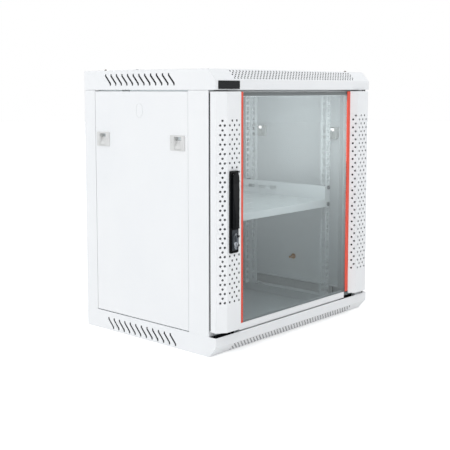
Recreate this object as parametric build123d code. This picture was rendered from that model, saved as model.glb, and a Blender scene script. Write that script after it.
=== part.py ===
from build123d import *
import os

# Wall-mounted 19-inch network cabinet, 12 units high.
# Millimetres. X to the right, Y to the rear, Z up. The origin is on the floor plane, under the
# middle of the whole object's box. Pieces are built on the right (+X) and mirrored where paired.

# ---------- driving dimensions ----------
WIDTH = 600.0
HEIGHT = 635.0
CAP_DEPTH = 437.0        # roof and base, front lip to rear face; 450 with the door
FRONT_PROUD = 25.0       # handle lever in front of the cap lips
UNITS = 12
UNIT = 44.45

CAP_H = 46.0             # height of the roof and base trays
LIP_H = 21.5             # upright front lip beside the door
SLOPE_RUN = 21.6         # front slope, measured along Y
SKIN = 1.2               # cover and panel sheet
GAUGE = 1.5              # frame sheet
RAIL_GAUGE = 2.0         # rack rail sheet

HALF = WIDTH / 2
REAR_Y = (CAP_DEPTH + FRONT_PROUD) / 2
LIP_Y = REAR_Y - CAP_DEPTH
MID_Z = HEIGHT / 2
BODY_LOW = CAP_H
BODY_HIGH = HEIGHT - CAP_H
SLOPE_RISE = CAP_H - LIP_H
SLOPE_LENGTH = (SLOPE_RUN ** 2 + SLOPE_RISE ** 2) ** 0.5

# frame stations behind the lip plane
POST_FRONT = LIP_Y + 21.5
POST_BACK = LIP_Y + 82.5
REAR_POST_FRONT = LIP_Y + 397.5
POST_FLANGE = 20.0
REAR_POST_FLANGE = 45.0
POST_JOINT = 1.2         # gap between a post's outer faces and the roof's rim
TONGUE = 22.0            # how far a post reaches up and down inside the trays
FRONT_BOTTOM_EDGE = 40.0
FRONT_TOP_EDGE = 574.0
RAIL_FOOT = 8.0          # underside of the front bottom rail
PANEL_SCREW_X = HALF - 35.0
PANEL_SCREW_Z = (90.0, MID_Z, HEIGHT - 90.0)
FLUSH_HEAD_R = 4.0

# vents in the tray sides
VENTS = 12
VENT_PITCH = 19.5
VENT_WIDTH = 4.8
VENT_FIRST_Y = LIP_Y + 357.0
VENT_RISE = 23.2
VENT_LEAN = 16.8
VENT_END = 2.6           # upright part at each end of a slot
BASE_VENT_Z = 7.0
ROOF_VENT_Z = BODY_HIGH + 12.0

# perforated slopes
GRILLE_HALF = 242.0
GRILLE_HEIGHT = 28.0
GRILLE_ROWS = 5
GRILLE_ROW_PITCH = 5.2
GRILLE_PITCH = 11.0
GRILLE_COLUMNS = 43
GRILLE_HOLE_R = 2.1

# cable covers, plugs and mats
COVER_T = 1.6
COVER_HALF = 262.0
COVER_Y = (REAR_Y - 168.0, REAR_Y - 107.0)
PLUG_PLACES = ((-284.0, REAR_Y - 62.0), (240.0, LIP_Y + 35.0))
PLUG_R = 3.2
MAT_T = 3.0
MAT_FRONT = LIP_Y + 108.0
MAT_REAR = LIP_Y + 374.0
SEAL_T = 2.0

# rack rails
RACK_HALF = 465.1 / 2
RACK_FLANGE_IN = 225.0
RACK_FLANGE_OUT = 241.0
RACK_FRONT_Y = LIP_Y + 83.0
RACK_REAR_Y = LIP_Y + 365.0
RACK_DEPTH = 30.0
RACK_HOLE = 9.5
RACK_STEPS = (6.35, 22.225, 38.1)
UNIT_BASE_Z = 40.3
DEPTH_RAIL_H = 30.0
DEPTH_RAIL_X = 262.0

# door
DOOR_FACE = LIP_Y - 13.0
DOOR_BACK = LIP_Y + 17.5
DOOR_LOW = 57.0
DOOR_HIGH = 585.5
PILLAR_SIDE = 298.5
PILLAR_SIDE_Y = LIP_Y + 1.0
PILLAR_OUT = 277.0
PILLAR_IN = 231.5
GLASS_EDGE = 218.0
GLASS_EDGE_Y = LIP_Y + 3.4
GLASS_FRONT = LIP_Y + 4.6
GLASS_T = 5.0
GLASS_HALF = 240.0
STRIP_WIDTH = 12.5
STRIP_LOW = DOOR_LOW + 6.0
PILLAR_HOLE_R = 2.5
PILLAR_ROWS = 20
PILLAR_ROW_PITCH = 20.45
PILLAR_TOP_ROW = 523.0
OUTER_COLUMNS = (9.7, 14.8, 19.9)
MIDDLE_COLUMNS = (8.2, 16.0, 23.6, 31.2, 38.8)
INNER_COLUMNS = (6.0, 12.8)
BOTTOM_RAIL_LOW = 47.5
BACK_SCREW_X = 230.0
BACK_SCREW_Z = (80.0, 200.0, 330.0, 460.0, 565.0)
HINGE_X = 291.0
HINGE_Y = LIP_Y + 11.0
HINGE_R = 3.0
RUNNING = 0.06           # radial clearance of turning fits

# handle
HANDLE_X = -257.8
HANDLE_LOW = 233.0
HANDLE_HIGH = 414.0
HANDLE_HALF = 13.6
HANDLE_T = 4.4
SPINDLE_Z = 398.5
SPINDLE_R = 4.0
SPINDLE_HEAD_R = 9.2
SPINDLE_HEAD_T = 1.0
LEVER_REAR = DOOR_FACE - HANDLE_T - 1.2
LEVER_TOP_FRONT = LIP_Y - 22.4
LEVER_PIVOT_Z = 406.5
LEVER_PIVOT_Y = LIP_Y - 20.2
LEVER_PIN_R = 0.9
LEVER_LOW = 287.0
LEVER_HALF = 9.5
LOCK_Z = 252.0
LOCK_RING_Z = 259.0
LOCK_PLATE_Z = (239.0, 284.5)

# side panels and their latches
PANEL_FRONT = POST_BACK + 1.0
PANEL_REAR = REAR_POST_FRONT - 1.0
PANEL_LOW = 48.0
PANEL_HIGH = 585.4
PANEL_FACE = HALF - 0.4
PANEL_FLANGE = 14.0
LATCH_W = 45.5
LATCH_H = 34.0
LATCH_PROUD = 2.4
LATCH_INSET = 6.4        # latch plate to panel edge at the rear
LATCH_FRONT_INSET = 9.0
LATCH_Z = 470.8
RIVET_SIDE = {"rear": -1, "front": 1}
RIVET_OFFSET = 16.2
POCKET_OFFSET = 1.4      # the slider's pocket lies away from the rivet
SLIDER_W = 21.4
SLIDER_H = 19.6
SLIDER_GAP = 8.0

# shelf
SHELF_TOP = 297.4
SHELF_HALF = 218.0
SHELF_FRONT = LIP_Y + 78.0
SHELF_LIP = 18.0
SHELF_WALL = 37.0

# wall fixing holes in the rear panel
WALL_X = 400.0
WALL_Z = 440.0
WALL_HOLE_R = 4.5


# ---------- helpers ----------
def block(x0, x1, y0, y1, z0, z1):
    return Pos((x0 + x1) / 2, (y0 + y1) / 2, (z0 + z1) / 2) * Box(x1 - x0, y1 - y0, z1 - z0)


def rod(axis, centre, length, radius):
    """A cylinder whose middle is at centre, along X, Y or Z."""
    turn = {"x": Rot(0, 90, 0), "y": Rot(90, 0, 0), "z": Rot(0, 0, 0)}[axis]
    return Pos(*centre) * turn * Cylinder(radius, length)


def left(shape):
    return mirror(shape, Plane.YZ)


def top(shape):
    """The same piece turned over about the cabinet's mid height."""
    return mirror(shape, Plane.XY.offset(MID_Z))


def join(pieces):
    whole = pieces[0]
    for piece in pieces[1:]:
        whole = whole + piece
    return whole


def shifted(points, thickness):
    """A polyline moved to its left by the thickness, with mitred corners."""
    vectors = [Vector(*p) for p in points]
    moved = []
    for i, here in enumerate(vectors):
        sides = []
        if i > 0:
            sides.append((here - vectors[i - 1]).normalized())
        if i < len(vectors) - 1:
            sides.append((vectors[i + 1] - here).normalized())
        normals = [Vector(-s.Y, s.X) for s in sides]
        mean = normals[0] if len(normals) == 1 else (normals[0] + normals[1]).normalized()
        moved.append(here + mean * (thickness / mean.dot(normals[0])))
    return [(v.X, v.Y) for v in moved]


def folded(points, thickness, low, high):
    """Upright folded sheet: the plan line of its outer face, thickened to its left."""
    outline = list(points) + shifted(points, thickness)[::-1]
    face = make_face(Polyline(*outline, close=True))
    return Pos(0, 0, low) * extrude(face, high - low)


def prism_x(points, half_length):
    """A closed outline in (Y, Z), extruded both ways along X."""
    face = make_face(Plane.YZ * Polyline(*points, close=True))
    return extrude(face, half_length, both=True)


def square_holes(depth_axis, along, centres_z, low, high):
    """A column of square rack holes as cutters, through a flange facing Y or X."""
    half = RACK_HOLE / 2
    cutters = []
    for z in centres_z:
        if depth_axis == "y":
            cutters.append(block(along - half, along + half, low, high, z - half, z + half))
        else:
            cutters.append(block(low, high, along - half, along + half, z - half, z + half))
    return cutters


# ---------- roof and base trays ----------
def tray_outline(inset):
    """The base tray in (Y, Z), drawn inset from its outer face, open at the top."""
    lip_foot = SLOPE_RISE + inset * (SLOPE_LENGTH - SLOPE_RISE) / SLOPE_RUN
    floor_front = LIP_Y + SLOPE_RUN + inset * (SLOPE_LENGTH - SLOPE_RUN) / SLOPE_RISE
    rim = CAP_H + (1.0 if inset else 0.0)
    return [
        (LIP_Y + inset, rim),
        (LIP_Y + inset, lip_foot),
        (floor_front, inset),
        (REAR_Y - inset, inset),
        (REAR_Y - inset, rim),
    ]


def slope_plane():
    """Local X along the slope's width, local Y up the slope, local Z out of it."""
    middle = (0, LIP_Y + SLOPE_RUN / 2, SLOPE_RISE / 2)
    return Plane(origin=middle, x_dir=(1, 0, 0), z_dir=(0, -SLOPE_RISE, -SLOPE_RUN))


def grille_slab(grow=0.0):
    height = GRILLE_HEIGHT + grow
    slab = Pos(0, 0, -SKIN / 2) * Box(2 * GRILLE_HALF + grow, height, SKIN)
    return slope_plane() * slab


def tray():
    shell = prism_x(tray_outline(0), HALF) - prism_x(tray_outline(SKIN), HALF - SKIN)
    return shell - grille_slab()


def grille():
    cutters = []
    for row in range(GRILLE_ROWS):
        y = (row - (GRILLE_ROWS - 1) / 2) * GRILLE_ROW_PITCH
        offset = GRILLE_PITCH / 4 * (1 if row % 2 else -1)
        for column in range(GRILLE_COLUMNS):
            x = (column - (GRILLE_COLUMNS - 1) / 2) * GRILLE_PITCH + offset
            cutters.append(Location((x, y)))
    holes = Sketch() + [place * Circle(GRILLE_HOLE_R) for place in cutters]
    sheet = Pos(0, 0, -SKIN / 2) * Box(2 * GRILLE_HALF, GRILLE_HEIGHT, SKIN)
    sheet = sheet - extrude(Pos(0, 0, -SKIN) * holes, 2 * SKIN)
    return slope_plane() * sheet


def vent_cutter(low_z):
    """The row of slanting S-shaped slots in a tray's two sides."""
    slots = []
    for i in range(VENTS):
        y = VENT_FIRST_Y - i * VENT_PITCH
        path = Polyline(
            (y, low_z + VENT_RISE),
            (y, low_z + VENT_RISE - VENT_END),
            (y - VENT_LEAN, low_z + VENT_END),
            (y - VENT_LEAN, low_z),
        )
        slots.append(make_face(offset(path, VENT_WIDTH / 2, kind=Kind.ARC)))
    faces = [Plane.YZ * slot for slot in slots]
    return [extrude(face, HALF + 10, both=True) for face in faces]


def base_cover():
    cable_slot = block(-150, 150, REAR_Y - 90, REAR_Y - 40, -1, SKIN + 1)
    return tray() - vent_cutter(BASE_VENT_Z) - cable_slot


def roof_cover():
    roof = top(tray())
    cable_slot = block(-230, 230, REAR_Y - 160, REAR_Y - 115, HEIGHT - 3, HEIGHT + 1)
    holes = [rod("z", (x, y, HEIGHT), 10, 2.2) for x, y in PLUG_PLACES]
    holes += [rod("z", (x, y, HEIGHT), 10, 1.7) for x, y in cover_screw_places()]
    return roof - vent_cutter(ROOF_VENT_Z) - cable_slot - holes


def roof_hole_plugs():
    """Two small domed plugs in the roof's lifting holes."""
    plugs = []
    for x, y in PLUG_PLACES:
        dome = Pos(x, y, HEIGHT) * Sphere(PLUG_R)
        cap = dome & block(x - 7, x + 7, y - 7, y + 7, HEIGHT, HEIGHT + 2 * PLUG_R)
        plugs.append(cap + rod("z", (x, y, HEIGHT - SKIN / 2), SKIN, 2.2))
    return Compound(children=plugs)


def cover_screw_places():
    middle = (COVER_Y[0] + COVER_Y[1]) / 2
    return [(sx * (COVER_HALF - 12), middle) for sx in (-1, 1)]


def roof_cable_cover():
    """Flat plate over the roof's cable slot."""
    plate = block(-COVER_HALF, COVER_HALF, COVER_Y[0], COVER_Y[1], HEIGHT, HEIGHT + COVER_T)
    plate = fillet(plate.edges().filter_by(Axis.Z), 6.0)
    return plate - [rod("z", (x, y, HEIGHT), 10, 1.7) for x, y in cover_screw_places()]


def base_cable_cover():
    """Plate laid inside the base over its cable slot."""
    plate = block(-165, 165, REAR_Y - 100, REAR_Y - 30, SKIN, SKIN + COVER_T)
    return fillet(plate.edges().filter_by(Axis.Z), 6.0)


def side_mat():
    """Dust filter mat inside the base's right wall, behind its slots."""
    return block(HALF - SKIN - MAT_T, HALF - SKIN, MAT_FRONT, MAT_REAR, SKIN + 1, BODY_LOW - 1)


def slope_mat():
    """Dust filter mat behind the perforated front slope of the base."""
    mat = Pos(0, 0, -SKIN - MAT_T / 2) * Box(2 * GRILLE_HALF, GRILLE_HEIGHT - 2, MAT_T)
    return slope_plane() * mat


def filter_mats():
    low = [side_mat(), left(side_mat()), slope_mat()]
    return low + [top(mat) for mat in low]


# ---------- frame ----------
def front_post():
    lip = 10.0
    outer = [
        (HALF - 18.0, POST_BACK),
        (HALF, POST_BACK),
        (HALF, POST_FRONT),
        (HALF - POST_FLANGE, POST_FRONT),
        (HALF - POST_FLANGE, POST_FRONT + lip),
    ]
    post = folded(outer, -GAUGE, BODY_LOW, BODY_HIGH - POST_JOINT)
    inner = HALF - SKIN - GAUGE - 0.1
    tongue = block(
        inner, HALF - SKIN, POST_FRONT + 2, POST_BACK - 2, BODY_LOW - TONGUE, BODY_HIGH + TONGUE
    )
    return post + tongue


def rear_post():
    outer = [
        (HALF - 16.0, REAR_POST_FRONT),
        (HALF, REAR_POST_FRONT),
        (HALF, REAR_Y),
        (HALF - REAR_POST_FLANGE, REAR_Y),
    ]
    post = folded(outer, GAUGE, BODY_LOW, BODY_HIGH - POST_JOINT)
    inner = HALF - SKIN - GAUGE - 0.1
    tongue = block(
        inner, HALF - SKIN, REAR_POST_FRONT + 2, REAR_Y - 2, BODY_LOW - TONGUE, BODY_HIGH + TONGUE
    )
    seats = [rod("y", (PANEL_SCREW_X, REAR_Y, z), 6, FLUSH_HEAD_R) for z in PANEL_SCREW_Z]
    return post + tongue - seats


def cross_rail(edge_z):
    """The low front cross member, with its upper edge at edge_z."""
    reach = HALF - POST_FLANGE - 0.2
    face = block(-reach, reach, POST_FRONT, POST_FRONT + GAUGE, RAIL_FOOT, edge_z)
    shelf_edge = block(-reach, reach, POST_FRONT, POST_FRONT + 18, edge_z - GAUGE, edge_z)
    end = HALF - SKIN - GAUGE - 0.1
    ears = []
    for x0, x1 in ((reach - 12, end), (-end, 12 - reach)):
        ears.append(block(x0, x1, POST_FRONT + GAUGE, POST_FRONT + 2 * GAUGE, RAIL_FOOT, 38.0))
    return join([face, shelf_edge] + ears)


def front_bottom_rail():
    return cross_rail(FRONT_BOTTOM_EDGE)


def front_top_rail():
    return top(cross_rail(HEIGHT - FRONT_TOP_EDGE))


def depth_rail():
    """Low right rail on the tray floor; its upper leg is slotted for the rack rails."""
    y0, y1 = LIP_Y + 42, LIP_Y + 424
    web = block(DEPTH_RAIL_X, DEPTH_RAIL_X + GAUGE, y0, y1, SKIN, DEPTH_RAIL_H)
    foot = block(DEPTH_RAIL_X, DEPTH_RAIL_X + 20, y0, y1, SKIN, SKIN + GAUGE)
    leg = block(RACK_FLANGE_OUT + 1, DEPTH_RAIL_X + GAUGE, y0, y1, DEPTH_RAIL_H - GAUGE, DEPTH_RAIL_H)
    rail = join([web, foot, leg])
    slot_x = (RACK_FLANGE_OUT + DEPTH_RAIL_X) / 2
    slot = extrude(Rot(0, 0, 90) * SlotOverall(46, 6.4), 10)
    for i in range(5):
        rail = rail - Pos(slot_x, LIP_Y + 89 + i * 64, DEPTH_RAIL_H - 5) * slot
    return rail


def rack_hole_heights():
    return [UNIT_BASE_Z + u * UNIT + step for u in range(UNITS) for step in RACK_STEPS]


def rack_rail(face_y, inward):
    """Right rack rail. inward is +1 when the return leg runs to the rear, -1 to the front."""
    low, high = DEPTH_RAIL_H, HEIGHT - DEPTH_RAIL_H
    y_in = face_y + inward * RAIL_GAUGE
    y_end = face_y + inward * RACK_DEPTH
    face = block(
        RACK_FLANGE_IN, RACK_FLANGE_OUT, min(face_y, y_in), max(face_y, y_in), low, high
    )
    leg = block(
        RACK_FLANGE_OUT - RAIL_GAUGE, RACK_FLANGE_OUT, min(face_y, y_end), max(face_y, y_end),
        low, high
    )
    feet = []
    foot_y = sorted((face_y + inward * 8, face_y + inward * (RACK_DEPTH - 2)))
    for z0 in (low, high - RAIL_GAUGE):
        feet.append(
            block(RACK_FLANGE_OUT - 1, DEPTH_RAIL_X, foot_y[0], foot_y[1], z0, z0 + RAIL_GAUGE)
        )
    heights = rack_hole_heights()
    face_holes = square_holes("y", RACK_HALF, heights, face_y - 5, face_y + 5)
    leg_y = face_y + inward * 18
    leg_holes = square_holes("x", leg_y, heights, RACK_FLANGE_OUT - 5, RACK_FLANGE_OUT + 5)
    bolt = rod("z", ((RACK_FLANGE_OUT + DEPTH_RAIL_X) / 2, leg_y, MID_Z), HEIGHT, 3.0)
    return join([face, leg] + feet) - face_holes - leg_holes - bolt


def rear_panel():
    """Wall side panel: its face lies between the rear posts, its wings behind their flanges."""
    half = HALF - REAR_POST_FLANGE - 0.2
    y1 = REAR_Y - 0.3
    sheet = block(-half, half, y1 - SKIN, y1, BODY_LOW + 0.2, BODY_HIGH - 0.2)
    wing = block(half - 1, half + 22, y1 - 2 * SKIN, y1 - SKIN, BODY_LOW + 14, BODY_HIGH - 14)
    wing = wing - [rod("y", (PANEL_SCREW_X, REAR_Y, z), 20, 1.9) for z in PANEL_SCREW_Z]
    hems = []
    for z0 in (BODY_LOW + 0.2, BODY_HIGH - 0.2 - SKIN):
        hems.append(block(-half, half, y1 - 14, y1 - SKIN, z0, z0 + SKIN))
    holes = [rod("y", (x, y1, z), 20, WALL_HOLE_R) for x, z in wall_holes()]
    return join([sheet, wing, left(wing)] + hems) - holes


def wall_holes():
    return [(sx * WALL_X / 2, MID_Z + sz * WALL_Z / 2) for sx in (-1, 1) for sz in (-1, 1)]


def screw(axis, centre, out, head_r=3.6, head_h=2.0, shank_r=1.9, shank=6.0):
    """A pan-head screw; centre is under its head and out is the head's direction."""
    head = rod(axis, along(axis, centre, out * head_h / 2), head_h, head_r)
    faces = head.faces().sort_by({"y": Axis.Y, "z": Axis.Z}[axis])
    outer_face = faces[-1] if out > 0 else faces[0]
    head = fillet(outer_face.edges(), head_h * 0.45)
    body = rod(axis, along(axis, centre, -out * shank / 2), shank, shank_r)
    slot_at = along(axis, centre, out * head_h)
    size = {"y": (3.6, 1.4, 0.9), "z": (3.6, 0.9, 1.4)}[axis]
    other = {"y": (0.9, 1.4, 3.6), "z": (0.9, 3.6, 1.4)}[axis]
    return head + body - Pos(*slot_at) * Box(*size) - Pos(*slot_at) * Box(*other)


def along(axis, centre, distance):
    x, y, z = centre
    return {"y": (x, y + distance, z), "z": (x, y, z + distance)}[axis]


def frame_screws():
    """Rear panel screws, cable cover screws and rack rail bolts, all on the frame."""
    screws = []
    for sx in (-1, 1):
        for z in PANEL_SCREW_Z:
            centre = (sx * PANEL_SCREW_X, REAR_Y - GAUGE, z)
            screws.append(screw("y", centre, 1, FLUSH_HEAD_R - 0.1, GAUGE - 0.1, 1.9, 4.0))
        for face_y, inward in ((RACK_FRONT_Y, 1), (RACK_REAR_Y, -1)):
            x = sx * (RACK_FLANGE_OUT + DEPTH_RAIL_X) / 2
            y = face_y + inward * 18
            screws.append(screw("z", (x, y, DEPTH_RAIL_H + RAIL_GAUGE), 1, 5.0, 3.0, 2.9, 7.0))
            roof_z = HEIGHT - DEPTH_RAIL_H - RAIL_GAUGE
            screws.append(screw("z", (x, y, roof_z), -1, 5.0, 3.0, 2.9, 7.0))
    for x, y in cover_screw_places():
        screws.append(screw("z", (x, y, HEIGHT + COVER_T), 1, 3.4, 1.5, 1.6, 4.0))
    return Compound(children=screws)


# ---------- shelf and its fixings ----------
def shelf_screw_heights():
    return [UNIT_BASE_Z + 5 * UNIT + RACK_STEPS[1], UNIT_BASE_Z + 6 * UNIT + RACK_STEPS[1]]


def shelf():
    low = SHELF_TOP - SHELF_LIP
    back = RACK_REAR_Y + SKIN
    plate = block(-SHELF_HALF, SHELF_HALF, SHELF_FRONT, back - SKIN, SHELF_TOP - SKIN, SHELF_TOP)
    lip = block(-SHELF_HALF, SHELF_HALF, SHELF_FRONT, SHELF_FRONT + SKIN, low, SHELF_TOP)
    hem = block(-SHELF_HALF, SHELF_HALF, SHELF_FRONT, SHELF_FRONT + 9, low, low + SKIN)
    pieces = [plate, lip, hem]
    wall_top = SHELF_TOP + SHELF_WALL
    for sx in (-1, 1):
        x0, x1 = sorted((sx * (SHELF_HALF - SKIN), sx * SHELF_HALF))
        pieces.append(block(x0, x1, SHELF_FRONT + 3, back - SKIN, SHELF_TOP - SKIN, wall_top))
        e0, e1 = sorted((sx * (SHELF_HALF - SKIN), sx * RACK_FLANGE_OUT))
        pieces.append(block(e0, e1, RACK_FRONT_Y - SKIN, RACK_FRONT_Y, low, wall_top))
        pieces.append(block(e0, e1, RACK_REAR_Y, back, low, wall_top))
        pieces.append(block(x0, x1, RACK_FRONT_Y - SKIN, RACK_FRONT_Y + 20, low, SHELF_TOP))
        pieces.append(block(x0, x1, RACK_REAR_Y - 20, back, low, SHELF_TOP))
    whole = join(pieces)
    slots = []
    for ix in range(6):
        for iy in range(4):
            x = (ix - 2.5) * 68
            y = SHELF_FRONT + 52 + iy * 60
            slots.append(Location((x, y, SHELF_TOP - 5)))
    slot = extrude(SlotOverall(22, 5), 10)
    whole = whole - [place * slot for place in slots]
    side = Plane.YZ * SlotOverall(26, 9)
    for i in range(3):
        y = RACK_REAR_Y - 30 - i * 38
        z = SHELF_TOP + SHELF_WALL * 0.55
        whole = whole - Pos(0, y, z) * extrude(side, SHELF_HALF + 5, both=True)
    holes = []
    for sx in (-1, 1):
        for z in shelf_screw_heights():
            for y in (RACK_FRONT_Y, RACK_REAR_Y):
                holes.append(rod("y", (sx * RACK_HALF, y, z), 6, 3.2))
    return whole - holes


def shelf_screws():
    screws = []
    for sx in (-1, 1):
        for z in shelf_screw_heights():
            for y, out in ((RACK_FRONT_Y - SKIN, -1), (RACK_REAR_Y + SKIN, 1)):
                centre = (sx * RACK_HALF, y, z)
                screws.append(screw("y", centre, out, 5.2, 3.0, 2.9, 13.0))
    return Compound(children=screws)


def cage_nuts():
    nuts = []
    for sx in (-1, 1):
        for z in shelf_screw_heights():
            for face, inward in ((RACK_FRONT_Y, 1), (RACK_REAR_Y, -1)):
                y0, y1 = sorted((face + inward * RAIL_GAUGE, face + inward * 7.5))
                x = sx * RACK_HALF
                cage = block(x - 6, x + 6, y0, y1, z - 6.5, z + 6.5)
                nuts.append(cage - rod("y", (x, (y0 + y1) / 2, z), 20, 3.0))
    return Compound(children=nuts)


# ---------- side panels and latches ----------
def latch_places():
    """Y of the middle of the rear and the front latch."""
    rear = PANEL_REAR - LATCH_INSET - LATCH_W / 2
    front = PANEL_FRONT + LATCH_FRONT_INSET + LATCH_W / 2
    return {"rear": rear, "front": front}


def side_panel():
    """Right side panel: a shallow pan with an embossed knock-out and two latch windows."""
    face, inner = PANEL_FACE, PANEL_FACE - SKIN
    sheet = block(inner, face, PANEL_FRONT, PANEL_REAR, PANEL_LOW, PANEL_HIGH)
    flanges = []
    root = face - PANEL_FLANGE
    for y0 in (PANEL_FRONT, PANEL_REAR - SKIN):
        flanges.append(block(root, inner, y0, y0 + SKIN, PANEL_LOW, PANEL_HIGH))
    for z0 in (PANEL_LOW, PANEL_HIGH - SKIN):
        flanges.append(block(root, inner, PANEL_FRONT, PANEL_REAR, z0, z0 + SKIN))
    panel = join([sheet] + flanges)
    knock_y = LIP_Y + 239.5
    knock_z = 541.5
    ring = Plane.YZ * (SlotOverall(33, 21.5) - SlotOverall(31.2, 19.7))
    ring = Pos(face - 0.35, knock_y, knock_z) * Rot(90, 0, 0) * extrude(ring, 1.0)
    panel = panel - ring
    windows = []
    for y in latch_places().values():
        windows.append(block(inner - 1, face + 1, y - 20, y + 20, LATCH_Z - 15.5, LATCH_Z + 15.5))
    return panel - windows


def latch_housing(y, rivet_side):
    """A moulded plate with a sunk pocket; the slider runs up and down in the pocket."""
    face = PANEL_FACE + LATCH_PROUD
    plate = block(
        PANEL_FACE, face, y - LATCH_W / 2, y + LATCH_W / 2,
        LATCH_Z - LATCH_H / 2, LATCH_Z + LATCH_H / 2
    )
    plate = fillet(plate.edges().filter_by(Axis.X), 2.0)
    plate = chamfer(plate.faces().sort_by(Axis.X)[-1].edges(), 0.7)
    body = block(PANEL_FACE - 12, PANEL_FACE, y - 19.8, y + 19.8, LATCH_Z - 15.3, LATCH_Z + 15.3)
    pocket_y = y - rivet_side * POCKET_OFFSET
    half = SLIDER_W / 2 + 0.4
    low = LATCH_Z - 14.2
    high = low + SLIDER_H + SLIDER_GAP + 0.4
    pocket = block(PANEL_FACE - 20, face + 1, pocket_y - half, pocket_y + half, low, high)
    rivet = rod("x", (face, y + rivet_side * RIVET_OFFSET, LATCH_Z + 1), 1.2, 1.6)
    return plate + body - pocket - rivet


def latch_slider(y, rivet_side):
    """Thumb scoop with a hook tail; it lifts by the dark gap above it."""
    pocket_y = y - rivet_side * POCKET_OFFSET
    half = SLIDER_W / 2
    low = LATCH_Z - 14.0
    high = low + SLIDER_H
    face = PANEL_FACE + LATCH_PROUD - 0.4
    deep = PANEL_FACE - 13.0
    scoop = [
        (face, low),
        (face, low + 3.0),
        (face - 6.5, high - 1.5),
        (face - 6.5, high),
        (deep, high),
        (deep, low),
    ]
    face_xz = make_face(Polyline(*[(x, pocket_y, z) for x, z in scoop], close=True))
    scooped = extrude(face_xz, half - 3.0, both=True)
    cheeks = []
    for side in (-1, 1):
        y0, y1 = sorted((pocket_y + side * (half - 3.0), pocket_y + side * half))
        cheeks.append(block(deep, face - 0.4, y0, y1, low, high))
    tail = block(deep - 5, deep, pocket_y - 6, pocket_y + 6, low + 2, high - 3)
    hook = block(deep - 5, deep - 3, pocket_y - 6, pocket_y + 6, high - 4, high + 3)
    return join([scooped] + cheeks + [tail, hook])


def latch_housings():
    places = latch_places()
    return Compound(children=[latch_housing(places[k], RIVET_SIDE[k]) for k in places])


def earth_stud():
    """Brass stud with a nut and lug on the inner face of the right side panel."""
    y, z = LIP_Y + 246.0, 113.0
    inner = PANEL_FACE - SKIN
    stud = rod("x", (inner - 9, y, z), 18, 3.0)
    nut = Pos(inner - 6, y, z) * Rot(0, 90, 0) * extrude(RegularPolygon(6.0, 6), 5)
    washer = rod("x", (inner - 0.6, y, z), 1.2, 7.5)
    return join([stud, nut, washer])


# ---------- door ----------
def pillar_line():
    """Plan line of the right pillar's outer face, from its rear outer edge to the glass."""
    return [
        (PILLAR_SIDE, DOOR_BACK),
        (PILLAR_SIDE, PILLAR_SIDE_Y),
        (PILLAR_OUT, DOOR_FACE),
        (PILLAR_IN, DOOR_FACE),
        (GLASS_EDGE, GLASS_EDGE_Y),
    ]


def hole_columns():
    """(face start, face end, distances along it, row offset) for the three hole fields."""
    line = pillar_line()
    outer = (line[1], line[2], OUTER_COLUMNS, 1)
    middle = (line[2], line[3], MIDDLE_COLUMNS, 1)
    inner = (line[3], line[4], INNER_COLUMNS, 0)
    return [outer, middle, inner]


def handle_covers(x, z, side):
    """Whether the handle's base would lie over a hole at this place."""
    if side > 0:
        return False
    near = abs(-x - HANDLE_X) < HANDLE_HALF + 0.6
    return near and HANDLE_LOW - 3 < z < HANDLE_HIGH + 3


def pillar_holes(side):
    cutters = []
    for start, end, distances, phase in hole_columns():
        a, b = Vector(*start), Vector(*end)
        run = (b - a).normalized()
        out = Vector(run.Y, -run.X)
        for i, distance in enumerate(distances):
            spot = a + run * distance
            drop = PILLAR_ROW_PITCH / 2 * ((i + phase) % 2)
            for row in range(PILLAR_ROWS):
                z = PILLAR_TOP_ROW - drop - row * PILLAR_ROW_PITCH
                if handle_covers(spot.X, z, side):
                    continue
                plane = Plane(origin=(spot.X, spot.Y, z), z_dir=(out.X, out.Y, 0))
                cutters.append(plane * Cylinder(PILLAR_HOLE_R, 8))
    return cutters


def door_pillar(side):
    """Perforated pillar built on the right; side is +1 for the hinge side, -1 for the lock."""
    line = pillar_line()
    sheet = folded(line, -GAUGE, DOOR_LOW, DOOR_HIGH) - pillar_holes(side)
    rear = DOOR_BACK - SKIN
    cap_line = [(PILLAR_SIDE, rear)] + line[1:] + [(GLASS_EDGE + 1.0, rear)]
    cap = make_face(Polyline(*cap_line, close=True))
    for z in (DOOR_LOW, DOOR_HIGH - GAUGE):
        sheet = sheet + Pos(0, 0, z) * extrude(cap, GAUGE)
    if side > 0:
        return sheet - rod("z", (HINGE_X, HINGE_Y, MID_Z), HEIGHT, HINGE_R)
    spindle = rod("y", (-HANDLE_X, DOOR_FACE, SPINDLE_Z), 10, SPINDLE_R + 1.5)
    lock = rod("y", (-HANDLE_X, DOOR_FACE, LOCK_Z), 10, 7.5)
    return left(sheet - spindle - lock)


def door_back(side):
    """Flat closing plate behind a pillar."""
    plate = block(
        GLASS_EDGE + 3, PILLAR_SIDE - GAUGE, DOOR_BACK - SKIN, DOOR_BACK,
        DOOR_LOW + GAUGE, DOOR_HIGH - GAUGE
    )
    plate = plate - [rod("y", (BACK_SCREW_X, DOOR_BACK, z), 10, 1.3) for z in BACK_SCREW_Z]
    if side > 0:
        return plate
    plate = plate - rod("y", (-HANDLE_X, DOOR_BACK, SPINDLE_Z), 10, SPINDLE_R + RUNNING)
    return left(plate)


def door_glass():
    glass = block(
        -GLASS_HALF, GLASS_HALF, GLASS_FRONT, GLASS_FRONT + GLASS_T, DOOR_LOW + 3, DOOR_HIGH - 2
    )
    return chamfer(glass.edges().filter_by(Axis.X), 0.6)


def glass_edge_strip():
    strip = block(
        GLASS_EDGE - STRIP_WIDTH, GLASS_EDGE - 0.1, GLASS_FRONT - 1.8, GLASS_FRONT,
        STRIP_LOW, DOOR_HIGH - 0.5
    )
    return fillet(strip.edges().filter_by(Axis.Z).group_by(Axis.Y)[0], 0.8)


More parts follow.
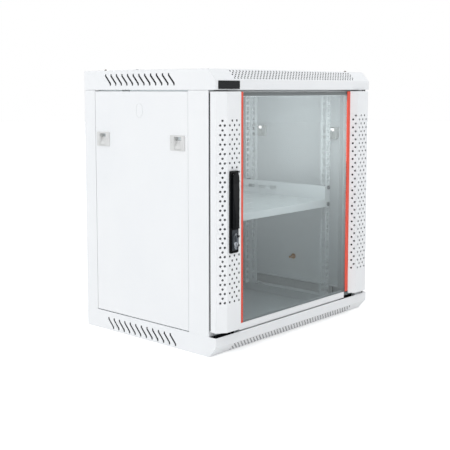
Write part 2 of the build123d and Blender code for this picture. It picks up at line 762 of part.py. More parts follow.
def glass_packers():
    packers = []
    for sx in (-1, 1):
        x0, x1 = sorted((sx * (GLASS_EDGE + 3), sx * GLASS_HALF))
        packer = block(x0, x1, GLASS_FRONT + GLASS_T, DOOR_BACK - SKIN, DOOR_LOW + 3, DOOR_HIGH - 2)
        holes = [rod("y", (sx * BACK_SCREW_X, DOOR_BACK, z), 10, 1.3) for z in BACK_SCREW_Z]
        packers.append(packer - holes)
    return Compound(children=packers)


def door_bottom_rail():
    """U channel that carries the lower edge of the glass; it stops short of the hinge side."""
    x0, x1 = 0.2 - GLASS_EDGE, GLASS_EDGE - 18.0
    low = BOTTOM_RAIL_LOW
    front = GLASS_FRONT - GAUGE - 0.1
    back = DOOR_BACK - 3.0
    face = block(x0, x1, front, front + GAUGE, low, STRIP_LOW)
    floor = block(x0, x1, front, back, low, low + GAUGE)
    rear = block(x0, x1, back - GAUGE, back, low, DOOR_LOW + 9)
    seat = block(x0, x1, GLASS_FRONT, GLASS_FRONT + GLASS_T, low, DOOR_LOW + 3)
    return join([face, floor, rear, seat])


def door_top_rail():
    """Light channel behind the top edge of the glass."""
    half = GLASS_EDGE - 0.2
    front = GLASS_FRONT + GLASS_T
    low = 575.0
    face = block(-half, half, front, front + GAUGE, low, DOOR_HIGH)
    ledge = block(-half, half, front, DOOR_BACK, DOOR_HIGH - GAUGE, DOOR_HIGH)
    hem = block(-half, half, front, DOOR_BACK - 1, low, low + GAUGE)
    return join([face, ledge, hem])


def hinge_pins():
    pins = []
    for z0, z1 in ((40.0, 78.0), (565.0, 598.0)):
        pin = rod("z", (HINGE_X, HINGE_Y, (z0 + z1) / 2), z1 - z0, HINGE_R)
        pins.append(chamfer(pin.edges().filter_by(GeomType.CIRCLE), 0.6))
    return Compound(children=pins)


def hinge_bushes():
    bushes = []
    for z0, z1 in ((45.0, DOOR_LOW), (DOOR_HIGH, HEIGHT - 45.2)):
        bush = rod("z", (HINGE_X, HINGE_Y, (z0 + z1) / 2), z1 - z0, 5.0)
        bushes.append(bush - rod("z", (HINGE_X, HINGE_Y, MID_Z), HEIGHT, HINGE_R))
    return Compound(children=bushes)


def hinge_bracket_bottom():
    """Angle bracket in front of the frame; its plate takes the hinge pin."""
    x0, x1 = HALF - 38, HALF - 3.5
    plate = block(x0, x1, LIP_Y + 3, POST_FRONT, 42.0, 45.0)
    plate = fillet(plate.edges().filter_by(Axis.Z).group_by(Axis.Y)[0], 4.0)
    upright = block(x0, x1, POST_FRONT - GAUGE, POST_FRONT, 29.0, 42.0)
    hole = rod("z", (HINGE_X, HINGE_Y, 43.5), 10, HINGE_R + RUNNING)
    return plate + upright - hole


def hinge_bracket_top():
    return top(hinge_bracket_bottom())


def door_seals():
    """Black sponge seals on the frame: beside the lock pillar and under both pillars."""
    y0, y1 = POST_FRONT - SEAL_T, POST_FRONT
    lock_side = block(2.5 - HALF, 17.0 - HALF, y0, y1, DOOR_LOW + 3, DOOR_HIGH - 3)
    lock_corner = block(2.5 - HALF, 0.5 - GLASS_EDGE, y0, y1, FRONT_BOTTOM_EDGE - 8, BODY_LOW - 0.4)
    hinge_corner = block(
        GLASS_EDGE - 16, HALF - 39, y0, y1, FRONT_BOTTOM_EDGE - 8, BODY_LOW - 0.4
    )
    return [lock_side, lock_corner, hinge_corner]


def door_screws():
    """Small screws that hold the back plates through the packers' line."""
    screws = []
    for sx in (-1, 1):
        for z in BACK_SCREW_Z:
            screws.append(screw("y", (sx * BACK_SCREW_X, DOOR_BACK, z), 1, 2.6, 1.4, 1.3, 4.0))
    return Compound(children=screws)


# ---------- swing handle ----------
def handle_base():
    x0, x1 = HANDLE_X - HANDLE_HALF, HANDLE_X + HANDLE_HALF
    front = DOOR_FACE - HANDLE_T
    base = block(x0, x1, front, DOOR_FACE, HANDLE_LOW, HANDLE_HIGH)
    base = fillet(base.edges().filter_by(Axis.Y), 2.5)
    base = fillet(base.faces().sort_by(Axis.Y)[0].edges(), 1.2)
    spindle = rod("y", (HANDLE_X, DOOR_FACE, SPINDLE_Z), 30, SPINDLE_R + RUNNING)
    lock = rod("y", (HANDLE_X, DOOR_FACE, LOCK_Z), 30, 6.0 + RUNNING)
    groove = Pos(HANDLE_X, front, SPINDLE_Z) * Rot(90, 0, 0) * Torus(SPINDLE_HEAD_R + 1.6, 0.5)
    return base - spindle - lock - groove


def lock_plate():
    """Recess plate and oval collar round the lock core."""
    front = DOOR_FACE - HANDLE_T
    plate = block(HANDLE_X - 9.4, HANDLE_X + 9.4, front - 1.6, front, *LOCK_PLATE_Z)
    plate = fillet(plate.edges().filter_by(Axis.Y), 2.0)
    oval = SlotOverall(36, 17.4) - SlotOverall(31.6, 13)
    collar = Pos(HANDLE_X, front, LOCK_RING_Z) * Rot(90, 0, 0) * Rot(0, 0, 90) * extrude(oval, 4.0)
    return plate + collar - rod("y", (HANDLE_X, front, LOCK_Z), 30, 6.0 + RUNNING)


def lock_core():
    front = DOOR_FACE - HANDLE_T - 4.8
    back = DOOR_FACE + 12.0
    core = rod("y", (HANDLE_X, (front + back) / 2, LOCK_Z), back - front, 6.0)
    core = chamfer(core.edges().filter_by(GeomType.CIRCLE).sort_by(Axis.Y)[0], 0.5)
    slot = block(HANDLE_X - 0.7, HANDLE_X + 0.7, front - 1, front + 8, LOCK_Z - 3.8, LOCK_Z + 3.8)
    return core - slot


def handle_spindle():
    """Round head, lever lug and shaft that reaches behind the door."""
    front = DOOR_FACE - HANDLE_T
    face = front - SPINDLE_HEAD_T
    back = DOOR_BACK + 14.5
    head = rod("y", (HANDLE_X, (face + front) / 2, SPINDLE_Z), SPINDLE_HEAD_T, SPINDLE_HEAD_R)
    shaft = rod("y", (HANDLE_X, (front + back) / 2, SPINDLE_Z), back - front, SPINDLE_R)
    lug = block(
        HANDLE_X - 2.5, HANDLE_X + 2.5, LEVER_PIVOT_Y, (face + front) / 2,
        LEVER_PIVOT_Z - 1.6, LEVER_PIVOT_Z + 1.2
    )
    knuckle = rod("x", (HANDLE_X, LEVER_PIVOT_Y, LEVER_PIVOT_Z), 5, 1.6)
    bore = rod("x", (HANDLE_X, LEVER_PIVOT_Y, LEVER_PIVOT_Z), 12, LEVER_PIN_R + RUNNING)
    return join([head, shaft, lug, knuckle]) - bore


def handle_lever():
    """Creased bar, thin where it is hinged at the top and proud at the finger end."""
    rear = LEVER_REAR
    crease = LIP_Y - FRONT_PROUD
    side_front = crease + 2.1
    section = [
        (HANDLE_X - LEVER_HALF, rear),
        (HANDLE_X - LEVER_HALF, side_front),
        (HANDLE_X - LEVER_HALF + 2.0, side_front - 1.2),
        (HANDLE_X - 3.5, crease),
        (HANDLE_X + LEVER_HALF - 2.0, crease + 0.9),
        (HANDLE_X + LEVER_HALF, side_front),
        (HANDLE_X + LEVER_HALF, rear),
    ]
    crown_z = LEVER_PIVOT_Z - LEVER_HALF + 3.3
    bar = Pos(0, 0, LEVER_LOW) * extrude(make_face(Polyline(*section, close=True)), 140)
    deep = 60.0
    front_view = rod("y", (HANDLE_X, rear, crown_z), deep, LEVER_HALF)
    lower = block(
        HANDLE_X - LEVER_HALF, HANDLE_X + LEVER_HALF, rear - deep / 2, rear + deep / 2,
        LEVER_LOW, crown_z
    )
    bar = bar & (front_view + lower)
    tip_z = crown_z + LEVER_HALF
    side_view = [
        (rear, LEVER_LOW),
        (rear, tip_z),
        (LEVER_TOP_FRONT, tip_z),
        (LEVER_TOP_FRONT, tip_z - 24),
        (crease - 0.1, LEVER_LOW + 26),
        (crease - 0.1, LEVER_LOW + 4),
        (crease + 2.0, LEVER_LOW),
    ]
    bar = bar & prism_x(side_view, 400)
    bevel = prism_x([(rear + 1, tip_z + 1), (rear + 1, tip_z - 4.2), (rear - 2.6, tip_z + 1)], 400)
    slot = block(
        HANDLE_X - 2.8, HANDLE_X + 2.8, LEVER_PIVOT_Y - 1.8, rear + 1, LEVER_PIVOT_Z - 8, tip_z + 1
    )
    bore = rod("x", (HANDLE_X, LEVER_PIVOT_Y, LEVER_PIVOT_Z), 16, LEVER_PIN_R)
    return bar - bevel - slot - bore


def lever_pin():
    return rod("x", (HANDLE_X, LEVER_PIVOT_Y, LEVER_PIVOT_Z), 15, LEVER_PIN_R)


def lock_cam():
    """Tongue on the spindle's end, stopping just short of the post's flange."""
    y0, y1 = DOOR_BACK + 7.5, DOOR_BACK + 10.5
    reach = -(HALF - POST_FLANGE) + 1.5
    hub = rod("y", (HANDLE_X, (y0 + y1) / 2, SPINDLE_Z), y1 - y0, 9.0)
    tongue = block(reach, HANDLE_X, y0, y1, SPINDLE_Z - 8, SPINDLE_Z + 8)
    tongue = fillet(tongue.edges().filter_by(Axis.Y).group_by(Axis.X)[0], 3.0)
    return hub + tongue - rod("y", (HANDLE_X, y0, SPINDLE_Z), 20, SPINDLE_R)


def cam_nut():
    y0 = DOOR_BACK + 10.5
    nut = Pos(HANDLE_X, y0, SPINDLE_Z) * Rot(-90, 0, 0) * extrude(RegularPolygon(7.5, 6), 3.5)
    return nut - rod("y", (HANDLE_X, y0, SPINDLE_Z), 20, SPINDLE_R)


def name_plate():
    """Blank plate on the roof's front lip."""
    plate = block(-292, -222, LIP_Y - 1.4, LIP_Y, BODY_HIGH + 2, BODY_HIGH + 20)
    plate = fillet(plate.edges().filter_by(Axis.Y), 1.5)
    return chamfer(plate.faces().sort_by(Axis.Y)[0].edges(), 0.4)


# ---------- all pieces ----------
PIECES = {
    "roof_cover": roof_cover(),
    "roof_front_grille": top(grille()),
    "base_cover": base_cover(),
    "base_front_grille": grille(),
    "front_post_left": left(front_post()),
    "front_post_right": front_post(),
    "rear_post_left": left(rear_post()),
    "rear_post_right": rear_post(),
    "front_top_rail": front_top_rail(),
    "front_bottom_rail": front_bottom_rail(),
    "rear_panel": rear_panel(),
    "depth_rail_bottom_left": left(depth_rail()),
    "depth_rail_bottom_right": depth_rail(),
    "depth_rail_top_left": left(top(depth_rail())),
    "depth_rail_top_right": top(depth_rail()),
    "rack_rail_front_left": left(rack_rail(RACK_FRONT_Y, 1)),
    "rack_rail_front_right": rack_rail(RACK_FRONT_Y, 1),
    "rack_rail_rear_left": left(rack_rail(RACK_REAR_Y, -1)),
    "rack_rail_rear_right": rack_rail(RACK_REAR_Y, -1),
    "shelf": shelf(),
    "shelf_screws": shelf_screws(),
    "cage_nuts": cage_nuts(),
    "hinge_bracket_bottom": hinge_bracket_bottom(),
    "hinge_bracket_top": hinge_bracket_top(),
    "name_plate": name_plate(),
    "roof_hole_plugs": roof_hole_plugs(),
    "roof_cable_cover": roof_cable_cover(),
    "base_cable_cover": base_cable_cover(),
    "mats_and_seals": Compound(children=filter_mats() + door_seals()),
    "frame_screws": frame_screws(),
    "side_panel_left": left(side_panel()),
    "side_panel_right": side_panel(),
    "latch_housings_left": left(latch_housings()),
    "latch_housings_right": latch_housings(),
    "earth_stud": earth_stud(),
    "door_pillar_left": door_pillar(-1),
    "door_pillar_right": door_pillar(1),
    "door_back_left": door_back(-1),
    "door_back_right": door_back(1),
    "door_glass": door_glass(),
    "glass_edge_strip_left": left(glass_edge_strip()),
    "glass_edge_strip_right": glass_edge_strip(),
    "glass_packers": glass_packers(),
    "door_top_rail": door_top_rail(),
    "door_bottom_rail": door_bottom_rail(),
    "hinge_pins": hinge_pins(),
    "hinge_bushes": hinge_bushes(),
    "door_screws": door_screws(),
    "handle_base": handle_base(),
    "lock_plate": lock_plate(),
    "handle_spindle": handle_spindle(),
    "lock_cam": lock_cam(),
    "cam_nut": cam_nut(),
    "handle_lever": handle_lever(),
    "lever_pin": lever_pin(),
    "lock_core": lock_core(),
}
for where, y in latch_places().items():
    slider = latch_slider(y, RIVET_SIDE[where])
    PIECES["latch_slider_" + where + "_right"] = slider
    PIECES["latch_slider_" + where + "_left"] = left(slider)

os.makedirs("parts", exist_ok=True)
for name, piece in PIECES.items():
    export_step(piece, "parts/" + name + ".step")
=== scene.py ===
"""The looks of a wall-mounted 19-inch network cabinet, 12 units high.

Metres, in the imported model's frame: X to the right, Y to the rear, Z up, the door facing -Y.
The CAD nodes are the object, and no piece is added to them. This script gives them their
finishes, and sets up the floor, the light and the camera.
"""

import math

import bmesh
import bpy
from mathutils import Matrix, Vector


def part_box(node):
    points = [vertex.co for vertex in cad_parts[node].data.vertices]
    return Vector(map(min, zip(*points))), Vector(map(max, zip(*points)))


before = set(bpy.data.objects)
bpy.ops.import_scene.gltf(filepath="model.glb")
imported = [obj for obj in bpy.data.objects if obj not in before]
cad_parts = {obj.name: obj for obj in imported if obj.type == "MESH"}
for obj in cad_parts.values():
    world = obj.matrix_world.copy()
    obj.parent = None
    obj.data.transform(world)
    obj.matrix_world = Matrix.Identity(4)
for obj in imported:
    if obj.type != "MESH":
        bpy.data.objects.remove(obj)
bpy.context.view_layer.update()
MM = 0.001

PLATE_LOW, PLATE_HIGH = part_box("lock_plate")
GLASS_LOW, GLASS_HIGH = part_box("door_glass")
PILLAR_LOW, PILLAR_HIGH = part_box("door_pillar_left")
GRILLE_LOW, GRILLE_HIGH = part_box("roof_front_grille")
SHELF_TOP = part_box("shelf")[1].z

# middle of the lock's oval ring, the ring's half width and half height,
# and the ring's middle line and half thickness as shares of those
LOCK_CENTRE = ((PLATE_LOW.x + PLATE_HIGH.x) / 2, 0.0, PLATE_LOW.z + 20 * MM)
LOCK_RING = (6.6 * MM, 16.5 * MM)
RING_LINE = 0.94
RING_HALF = 0.13
# heights between which the door glass goes from its darkest to its palest; the darkening downwards
# is painted shade
GLASS_SHADED_Z = GLASS_LOW.z + 40 * MM
GLASS_PALE_Z = GLASS_HIGH.z - 83.5 * MM
# lowest and highest coordinate of the punched fields, and the axis that the holes' rims face
# along; those rims are painted dark as painted shade in the holes
PILLAR_HOLES = ("Z", PILLAR_LOW.z + 53 * MM, PILLAR_HIGH.z - 35.5 * MM)
GRILLE_HOLES = ("X", GRILLE_LOW.x + 2 * MM, GRILLE_HIGH.x - 2 * MM)
# how far a face has to look one way to count as facing that way
REAR_FACING = 0.05
RIM_FACING = 0.25
# X times the X of the normal, below which a mat's face looks to the cabinet's middle
INWARD = -0.15

# light given off by the floor, and its share for light that bounces off it
FLOOR_GLOW = 0.30
BOUNCED_FLOOR = 0.72
# the floor in reflections: base grey, and glow near the cabinet and far from it
MIRRORED_BASE = 0.02
MIRRORED_NEAR = (1.2, 1.2)
MIRRORED_FAR = (5.0, 4.9)
FLOOR_RADIUS = 14.0
# strength of the sky at the horizon and overhead, in reflections, and its share at the right
SKY_LOW = 0.27
SKY_HIGH = 1.78
MIRRORED_SKY = 1.5
SKY_RIGHT = 0.38
SKY_DIMS_FROM_X = -0.3
SKY_COLOUR = (0.97, 0.985, 1.0, 1.0)
WHITE = (1.0, 1.0, 1.0, 1.0)
SUN_DIRECTION = (-0.66, -0.50, 0.56)
SUN_STRENGTH = 0.32
SUN_SPREAD = 0.60
# sheets of light just in front of the door glass, above and below the shelf's top; they light the
# inside of the cabinet through the glass
FILL_Y = GLASS_LOW.y - 1.6 * MM
FILL_WIDTH = 410 * MM
UPPER_FILL_Z = (SHELF_TOP + 65.6 * MM, GLASS_HIGH.z - 21.5 * MM)
UPPER_FILL_POWER = 0.72
LOWER_FILL_Z = (GLASS_LOW.z + 25 * MM, SHELF_TOP - 4.4 * MM)
LOWER_FILL_POWER = 0.42

CAMERA_PLACE = Vector((-1677.2, -1461.6, 589.5)) * MM
CAMERA_YAW = 0.8422
CAMERA_PITCH = -0.0977
CAMERA_ROLL = -0.0002
CAMERA_SHIFT = -1 / 9
LENS = 69.68
SENSOR = 36.0
CLIP_START = 0.05
CLIP_END = 60.0
UP = Vector((0, 0, 1))
REARWARD = Vector((0, 1, 0))


# ---------- node tools ----------
class Nodes:
    """A node tree, and short calls for the nodes in it."""

    def __init__(self, tree):
        self.tree = tree

    def node(self, kind, **settings):
        made = self.tree.nodes.new(kind)
        for name, value in settings.items():
            setattr(made, name, value)
        return made

    def link(self, source, target):
        self.tree.links.new(source, target)

    def feed(self, target, value):
        """Link a socket, or set a number or vector on the target itself."""
        if isinstance(value, bpy.types.NodeSocket):
            self.link(value, target)
        else:
            target.default_value = value

    def spread(self, value, low, high, start=0.3, stop=0.7):
        """The value from start to stop, mapped to low to high."""
        made = self.node("ShaderNodeMapRange")
        self.link(value, made.inputs["Value"])
        made.inputs["From Min"].default_value = start
        made.inputs["From Max"].default_value = stop
        made.inputs["To Min"].default_value = low
        made.inputs["To Max"].default_value = high
        return made.outputs["Result"]

    def split(self, socket):
        made = self.node("ShaderNodeSeparateXYZ")
        self.link(socket, made.inputs[0])
        return made.outputs

    def math(self, operation, *values, clamp=False):
        """Each value is a number or a socket."""
        made = self.node("ShaderNodeMath", operation=operation, use_clamp=clamp)
        for slot, value in enumerate(values):
            self.feed(made.inputs[slot], value)
        return made.outputs[0]

    def vector_math(self, operation, *values):
        """Each value is a vector or a socket."""
        made = self.node("ShaderNodeVectorMath", operation=operation)
        for slot, value in enumerate(values):
            self.feed(made.inputs[slot], value)
        return made.outputs

    def mix_shaders(self, share, first, second):
        made = self.node("ShaderNodeMixShader")
        for slot, source in enumerate((share, first, second)):
            self.link(source, made.inputs[slot])
        return made.outputs[0]


class Finish(Nodes):
    """A node material with one Principled shader."""

    def __init__(self, name, **sockets):
        self.material = bpy.data.materials.new(name)
        self.material.use_nodes = True
        super().__init__(self.material.node_tree)
        self.shader = self.tree.nodes["Principled BSDF"]
        self.output = self.tree.nodes["Material Output"]
        for socket, value in sockets.items():
            self.shader.inputs[socket.replace("_", " ")].default_value = value
        self.place = self.node("ShaderNodeTexCoord").outputs["Object"]

    def stretched(self, x, y, z):
        """Object coordinates multiplied along each axis, for grain that runs one way."""
        made = self.node("ShaderNodeMapping")
        made.inputs["Scale"].default_value = (x, y, z)
        self.link(self.place, made.inputs["Vector"])
        return made.outputs["Vector"]

    def noise(self, per_metre, detail=2.0, vector=None):
        made = self.node("ShaderNodeTexNoise")
        made.inputs["Scale"].default_value = per_metre
        made.inputs["Detail"].default_value = detail
        self.link(vector or self.place, made.inputs["Vector"])
        return made.outputs["Fac"]

    def cells(self, per_metre):
        """Distance to the middle of the nearest cell."""
        made = self.node("ShaderNodeTexVoronoi")
        made.inputs["Scale"].default_value = per_metre
        self.link(self.place, made.inputs["Vector"])
        return made.outputs["Distance"]

    def blend(self, share, first, second):
        """A colour from first to second; each is a colour tuple or a socket."""
        made = self.node("ShaderNodeMix", data_type="RGBA")
        self.link(share, made.inputs[0])
        for slot, colour in ((6, first), (7, second)):
            self.feed(made.inputs[slot], (*colour, 1.0) if isinstance(colour, tuple) else colour)
        return made.outputs[2]

    def bump(self, height, depth, strength=1.0, under=None):
        """A bump whose full height is depth metres."""
        made = self.node("ShaderNodeBump")
        made.inputs["Distance"].default_value = depth
        made.inputs["Strength"].default_value = strength
        self.link(height, made.inputs["Height"])
        if under is not None:
            self.link(under, made.inputs["Normal"])
        return made.outputs["Normal"]

    def facing(self):
        return self.split(self.node("ShaderNodeTexCoord").outputs["Normal"])

    def facing_rear(self):
        """One on faces that look towards the rear, nothing on the others."""
        return self.math("GREATER_THAN", self.facing()["Y"], REAR_FACING)

    def facing_inward(self):
        """One on faces of the mats at left and right that look towards the cabinet's middle."""
        outward = self.math("MULTIPLY", self.split(self.place)["X"], self.facing()["X"])
        return self.math("LESS_THAN", outward, INWARD)

    def punched(self, axis, low, high):
        """One on the rims of punched holes, found by faces that look along the axis."""
        rim = self.math("GREATER_THAN", self.math("ABSOLUTE", self.facing()[axis]), RIM_FACING)
        along = self.split(self.place)[axis]
        within = self.math("COMPARE", along, (low + high) / 2, (high - low) / 2)
        return self.math("MULTIPLY", rim, within)

    def round_edges(self, radius):
        made = self.node("ShaderNodeBevel", samples=4)
        made.inputs["Radius"].default_value = radius
        return made.outputs["Normal"]

    def set(self, socket, source):
        self.link(source, self.shader.inputs[socket])

    def grain(self, height, depth, strength, edge_radius):
        """A fine bump over softly rounded edges."""
        self.set("Normal", self.bump(height, depth, strength, self.round_edges(edge_radius)))


def grey(value):
    return (value, value, value)


# ---------- finishes, one for each material slot ----------
def powder_coat(name="powder_coat", shaded_inside=False, holes=None):
    """Light grey semi-gloss powder coat: fine orange peel over slightly wavy sheet steel.

    Faces towards the rear can be painted near black, as painted shade inside the door pillars
    seen through their holes. The rims of punched holes can be painted dark, as painted shade in
    the holes.
    """
    finish = Finish(name, Specular_IOR_Level=0.5)
    cloud = finish.noise(5.0, 3.0)
    fleck = finish.noise(900.0, 1.0)
    base = finish.blend(finish.spread(cloud, 0, 1), (0.80, 0.812, 0.825), (0.83, 0.838, 0.845))
    paint = finish.blend(finish.spread(fleck, 0, 0.10), base, (0.66, 0.67, 0.69))
    # painted shade: faces towards the rear go near black, so the pillars' inside looks dark
    # through the holes
    if shaded_inside:
        paint = finish.blend(finish.facing_rear(), paint, (0.010, 0.011, 0.012))
    # painted shade: dark rims in the punched holes
    if holes:
        paint = finish.blend(finish.punched(*holes), paint, (0.03, 0.031, 0.032))
    finish.set("Base Color", paint)
    finish.set("Roughness", finish.spread(finish.noise(60.0, 4.0), 0.36, 0.46))
    edges = finish.round_edges(0.9 * MM)
    waves = finish.bump(finish.noise(7.0, 1.0), 1.2 * MM, 0.35, edges)
    peel = finish.bump(finish.noise(650.0, 2.0), 0.045 * MM, 0.6, waves)
    finish.set("Normal", peel)
    return finish.material


def zinc():
    """Bright zinc plating with faint crystals."""
    finish = Finish("zinc_plate", Metallic=1.0)
    crystal = finish.spread(finish.cells(420.0), 0, 1, 0.0, 0.8)
    finish.set("Base Color", finish.blend(crystal, (0.40, 0.41, 0.42), (0.28, 0.29, 0.30)))
    finish.set("Roughness", finish.spread(finish.noise(300.0), 0.26, 0.44))
    finish.grain(finish.noise(1500.0), 0.02 * MM, 0.5, 0.3 * MM)
    return finish.material


def black_plate():
    """Black lacquered plate with fine sideways brushing."""
    finish = Finish("black_plate", Specular_IOR_Level=0.12)
    brushed = finish.noise(60.0, 3.0, finish.stretched(1.0, 30.0, 30.0))
    finish.set("Base Color", finish.blend(brushed, (0.004, 0.004, 0.005), (0.016, 0.017, 0.019)))
    finish.set("Roughness", finish.spread(brushed, 0.26, 0.42))
    finish.grain(brushed, 0.02 * MM, 0.4, 0.4 * MM)
    return finish.material


def plug_rubber():
    """Dull brown moulded plug."""
    finish = Finish("plug_rubber")
    speck = finish.noise(500.0, 3.0)
    finish.set("Base Color", finish.blend(speck, (0.085, 0.055, 0.038), (0.17, 0.12, 0.09)))
    finish.set("Roughness", finish.spread(speck, 0.5, 0.7))
    finish.set("Normal", finish.bump(speck, 0.05 * MM, 0.6))
    return finish.material


def latch_plastic():
    """Neutral light grey moulded plastic with a fine eroded grain."""
    finish = Finish("latch_plastic", Specular_IOR_Level=0.45)
    grain = finish.noise(1100.0, 3.0)
    cloud = finish.spread(finish.noise(30.0, 2.0), 0, 1)
    finish.set("Base Color", finish.blend(cloud, (0.62, 0.622, 0.615), (0.68, 0.68, 0.672)))
    finish.set("Roughness", finish.spread(grain, 0.42, 0.58))
    finish.grain(grain, 0.03 * MM, 0.6, 0.5 * MM)
    return finish.material


def brass():
    """Yellow brass with patches of brown tarnish."""
    finish = Finish("earth_brass", Metallic=1.0)
    tarnish = finish.noise(120.0, 4.0)
    patches = finish.spread(tarnish, 0, 1)
    finish.set("Base Color", finish.blend(patches, (0.72, 0.42, 0.14), (0.42, 0.22, 0.08)))
    finish.set("Roughness", finish.spread(tarnish, 0.25, 0.5))
    finish.grain(finish.noise(900.0), 0.03 * MM, 0.5, 0.4 * MM)
    return finish.material


def door_glass():
    """Toughened smoke-grey glass, darker towards its foot as painted shade; lamps shine through to
    the inside.
    """
    finish = Finish("door_glass", IOR=1.5, Transmission_Weight=1.0)
    height = finish.split(finish.place)["Z"]
    # painted shade: the glass darkens downwards to its foot, standing in for the dim lower inside
    # of the cabinet
    depth = finish.spread(height, 0, 1, GLASS_SHADED_Z, GLASS_PALE_Z)
    tint_and_shade = finish.blend(depth, (0.56, 0.60, 0.605), (0.87, 0.91, 0.91))
    haze = finish.spread(finish.noise(9.0, 3.0), 0, 0.06)
    tint_and_shade = finish.blend(haze, tint_and_shade, grey(0.75))
    finish.set("Base Color", tint_and_shade)
    finish.set("Roughness", finish.spread(finish.noise(40.0, 5.0), 0.0, 0.02, 0.45, 0.75))
    finish.set("Normal", finish.bump(finish.noise(2.5, 1.0), 0.4 * MM, 0.12))
    clear = finish.node("ShaderNodeBsdfTransparent")
    finish.link(tint_and_shade, clear.inputs["Color"])
    for_lamps = finish.node("ShaderNodeLightPath").outputs["Is Shadow Ray"]
    surface = finish.mix_shaders(for_lamps, finish.shader.outputs[0], clear.outputs[0])
    finish.link(surface, finish.output.inputs["Surface"])
    return finish.material


def red_strip():
    """Red-orange edging tape with a soft satin skin."""
    finish = Finish("red_strip")
    fibre = finish.noise(200.0, 3.0, finish.stretched(6.0, 6.0, 0.3))
    shade = finish.spread(fibre, 0, 1)
    finish.set("Base Color", finish.blend(shade, (0.80, 0.085, 0.045), (0.70, 0.065, 0.035)))
    finish.set("Roughness", finish.spread(fibre, 0.38, 0.55))
    finish.grain(fibre, 0.03 * MM, 0.4, 0.4 * MM)
    return finish.material


def foam():
    """Black open-cell foam of the mats and seals, near black as painted shade behind vents, holes
    and gaps; a mat's side towards the cabinet's middle has a pale scrim backing.
    """
    finish = Finish("packer_foam", Specular_IOR_Level=0.05)
    cells = finish.cells(900.0)
    # painted shade: the foam is kept near black so the vents, holes and gaps in front of it look
    # dark
    black = finish.blend(cells, (0.004, 0.004, 0.005), (0.016, 0.016, 0.018))
    scrim = finish.blend(cells, grey(0.82), grey(0.72))
    finish.set("Base Color", finish.blend(finish.facing_inward(), black, scrim))
    finish.set("Roughness", finish.spread(cells, 0.7, 0.9, 0.0, 0.7))
    finish.set("Normal", finish.bump(cells, 0.2 * MM, 0.7))
    return finish.material


def handle_black():
    """Glossy black moulded handle, with faint moulding flow and dust."""
    finish = Finish("handle_black", Specular_IOR_Level=0.12)
    flow = finish.noise(40.0, 3.0, finish.stretched(4.0, 4.0, 0.6))
    streaks = finish.spread(flow, 0, 1)
    dust = finish.spread(finish.noise(1300.0, 2.0), 0, 0.05, 0.66, 0.8)
    black = finish.blend(streaks, (0.0015, 0.002, 0.0025), (0.004, 0.005, 0.006))
    finish.set("Base Color", finish.blend(dust, black, grey(0.10)))
    finish.set("Roughness", finish.spread(flow, 0.12, 0.24))
    finish.grain(flow, 0.05 * MM, 0.5, 0.7 * MM)
    return finish.material


def chrome():
    """Satin chrome with fine turning marks and a bluish cast."""
    finish = Finish("lock_chrome", Metallic=1.0)
    marks = finish.noise(160.0, 3.0, finish.stretched(1.0, 1.0, 8.0))
    finish.set("Base Color", finish.blend(marks, (0.46, 0.50, 0.55), (0.60, 0.64, 0.68)))
    finish.set("Roughness", finish.spread(marks, 0.22, 0.36))
    finish.grain(marks, 0.02 * MM, 0.4, 0.3 * MM)
    return finish.material


def lock_slate():
    """Dark slate plate of the lock, with a satin chrome ring round the cylinder."""
    finish = Finish("lock_slate")
    across = finish.vector_math("SUBTRACT", finish.place, LOCK_CENTRE)[0]
    per_half = (1 / LOCK_RING[0], 0.0, 1 / LOCK_RING[1])
    oval = finish.vector_math("MULTIPLY", across, per_half)[0]
    radius = finish.vector_math("LENGTH", oval)["Value"]
    ring = finish.math("COMPARE", radius, RING_LINE, RING_HALF)
    marks = finish.noise(160.0, 3.0)
    slate = finish.blend(marks, (0.022, 0.028, 0.034), (0.05, 0.06, 0.07))
    finish.set("Base Color", finish.blend(ring, slate, (0.42, 0.45, 0.48)))
    finish.set("Metallic", finish.spread(ring, 0.3, 1.0, 0.0, 1.0))
    finish.set("Roughness", finish.spread(marks, 0.30, 0.46))
    finish.grain(marks, 0.02 * MM, 0.4, 0.3 * MM)
    return finish.material


FINISHES = {
    "cabinet_paint": powder_coat(),
    "zinc_steel": zinc(),
    "plate_black": black_plate(),
    "plug_brown": plug_rubber(),
    "latch_plastic": latch_plastic(),
    "earth_brass": brass(),
    "door_glass": door_glass(),
    "strip_red": red_strip(),
    "packer_foam": foam(),
    "handle_black": handle_black(),
    "lock_chrome": chrome(),
}
# nodes whose finish differs from their packed material's
PILLAR_COAT = powder_coat("pillar_coat", shaded_inside=True, holes=PILLAR_HOLES)
GRILLE_COAT = powder_coat("grille_coat", holes=GRILLE_HOLES)
OWN_FINISHES = {
    "door_pillar_left": PILLAR_COAT,
    "door_pillar_right": PILLAR_COAT,
    "roof_front_grille": GRILLE_COAT,
    "base_front_grille": GRILLE_COAT,
    "lock_plate": lock_slate(),
}


def dress_nodes():
    """Give every CAD node's slots their own finish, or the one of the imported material."""
    for name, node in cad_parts.items():
        for holder in node.material_slots:
            holder.material = OWN_FINISHES.get(name) or FINISHES[holder.material.name]


# ---------- floor, light and camera ----------
def placed(name, data):
    """A new object in the scene that holds the data."""
    made = bpy.data.objects.new(name, data)
    bpy.context.collection.objects.link(made)
    return made


def aim(lamp, direction):
    """Turn a lamp to shine along the direction, with its own Y towards the sky."""
    lamp.rotation_mode = "QUATERNION"
    lamp.rotation_quaternion = direction.to_track_quat("-Z", "Y")


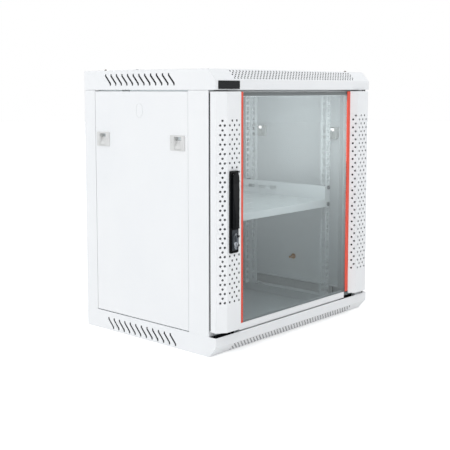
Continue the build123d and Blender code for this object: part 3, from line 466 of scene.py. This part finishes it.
def add_floor():
    """A pale floor that glows a little, and more in reflections, most of all far away."""
    mesh = bpy.data.meshes.new("floor")
    shape = bmesh.new()
    bmesh.ops.create_circle(shape, cap_ends=True, radius=FLOOR_RADIUS, segments=96)
    shape.to_mesh(mesh)
    shape.free()
    floor = placed("floor", mesh)
    finish = Finish("pale_floor", Specular_IOR_Level=0.05, Emission_Strength=FLOOR_GLOW)
    speck = finish.noise(40.0, 4.0)
    pale = finish.blend(finish.spread(speck, 0, 1), grey(0.90), grey(0.93))
    path = finish.node("ShaderNodeLightPath").outputs
    through = path["Is Transmission Ray"]
    mirrored = finish.math("SUBTRACT", path["Is Glossy Ray"], through, clamp=True)
    seen = finish.math("MAXIMUM", path["Is Camera Ray"], through)
    finish.set("Base Color", finish.blend(mirrored, pale, grey(MIRRORED_BASE)))
    direct = finish.blend(seen, grey(BOUNCED_FLOOR), grey(1.0))
    near, near_glow = MIRRORED_NEAR
    far, far_glow = MIRRORED_FAR
    away = finish.vector_math("LENGTH", finish.place)["Value"]
    reflected = finish.blend(finish.spread(away, 0, 1, near, far), grey(near_glow), grey(far_glow))
    finish.set("Emission Color", finish.blend(mirrored, direct, reflected))
    finish.set("Roughness", finish.spread(speck, 0.8, 0.9))
    mesh.materials.append(finish.material)


def add_sky():
    """A pale sky, brighter overhead and dimmer to the right; the camera sees plain white.

    It has one even strength in reflections.
    """
    world = bpy.data.worlds.new("studio")
    bpy.context.scene.world = world
    world.use_nodes = True
    sky = Nodes(world.node_tree)
    path = sky.node("ShaderNodeLightPath").outputs
    toward = sky.split(sky.node("ShaderNodeTexCoord").outputs["Generated"])
    by_height = sky.spread(toward["Z"], SKY_LOW, SKY_HIGH, 0.0, 1.0)
    by_side = sky.spread(toward["X"], 1.0, SKY_RIGHT, SKY_DIMS_FROM_X, 1.0)
    strength = sky.node("ShaderNodeMix")
    sky.link(path["Is Glossy Ray"], strength.inputs[0])
    sky.link(sky.math("MULTIPLY", by_height, by_side), strength.inputs[2])
    strength.inputs[3].default_value = MIRRORED_SKY
    light = sky.tree.nodes["Background"]
    light.inputs["Color"].default_value = SKY_COLOUR
    sky.link(strength.outputs[0], light.inputs["Strength"])
    plain = sky.node("ShaderNodeBackground")
    plain.inputs["Color"].default_value = WHITE
    surface = sky.mix_shaders(path["Is Camera Ray"], light.outputs[0], plain.outputs[0])
    sky.link(surface, sky.tree.nodes["World Output"].inputs["Surface"])


def add_sun(name, direction, strength, spread):
    """A broad distant lamp; direction points from the object to the lamp."""
    lamp = bpy.data.lights.new(name, "SUN")
    lamp.energy = strength
    lamp.angle = spread
    holder = placed(name, lamp)
    holder.location = Vector(direction) * 3.0
    aim(holder, -Vector(direction))


def add_fill(name, low, high, power):
    """A sheet of light facing the rear that gives light but is never seen or mirrored."""
    lamp = bpy.data.lights.new(name, "AREA")
    lamp.shape = "RECTANGLE"
    lamp.size = FILL_WIDTH
    lamp.size_y = high - low
    lamp.energy = power
    holder = placed(name, lamp)
    holder.location = (0.0, FILL_Y, (low + high) / 2)
    aim(holder, REARWARD)
    holder.visible_camera = False
    holder.visible_glossy = False
    holder.visible_transmission = False


def add_camera():
    camera = bpy.data.cameras.new("camera")
    camera.sensor_width = SENSOR
    camera.lens = LENS
    camera.shift_y = CAMERA_SHIFT
    camera.clip_start = CLIP_START
    camera.clip_end = CLIP_END
    level = Vector((math.sin(CAMERA_YAW), math.cos(CAMERA_YAW), 0.0))
    ahead = level * math.cos(CAMERA_PITCH) + UP * math.sin(CAMERA_PITCH)
    right = ahead.cross(UP).normalized()
    rolled = right * math.cos(CAMERA_ROLL) + right.cross(ahead) * math.sin(CAMERA_ROLL)
    turn = Matrix((rolled, rolled.cross(ahead), -ahead)).transposed()
    holder = placed("camera", camera)
    holder.matrix_world = Matrix.Translation(CAMERA_PLACE) @ turn.to_4x4()
    bpy.context.scene.camera = holder


dress_nodes()
add_floor()
add_sky()
add_sun("soft_sun", SUN_DIRECTION, SUN_STRENGTH, SUN_SPREAD)
add_fill("upper_fill", *UPPER_FILL_Z, UPPER_FILL_POWER)
add_fill("lower_fill", *LOWER_FILL_Z, LOWER_FILL_POWER)
add_camera()
bpy.context.scene.view_settings.view_transform = "Standard"
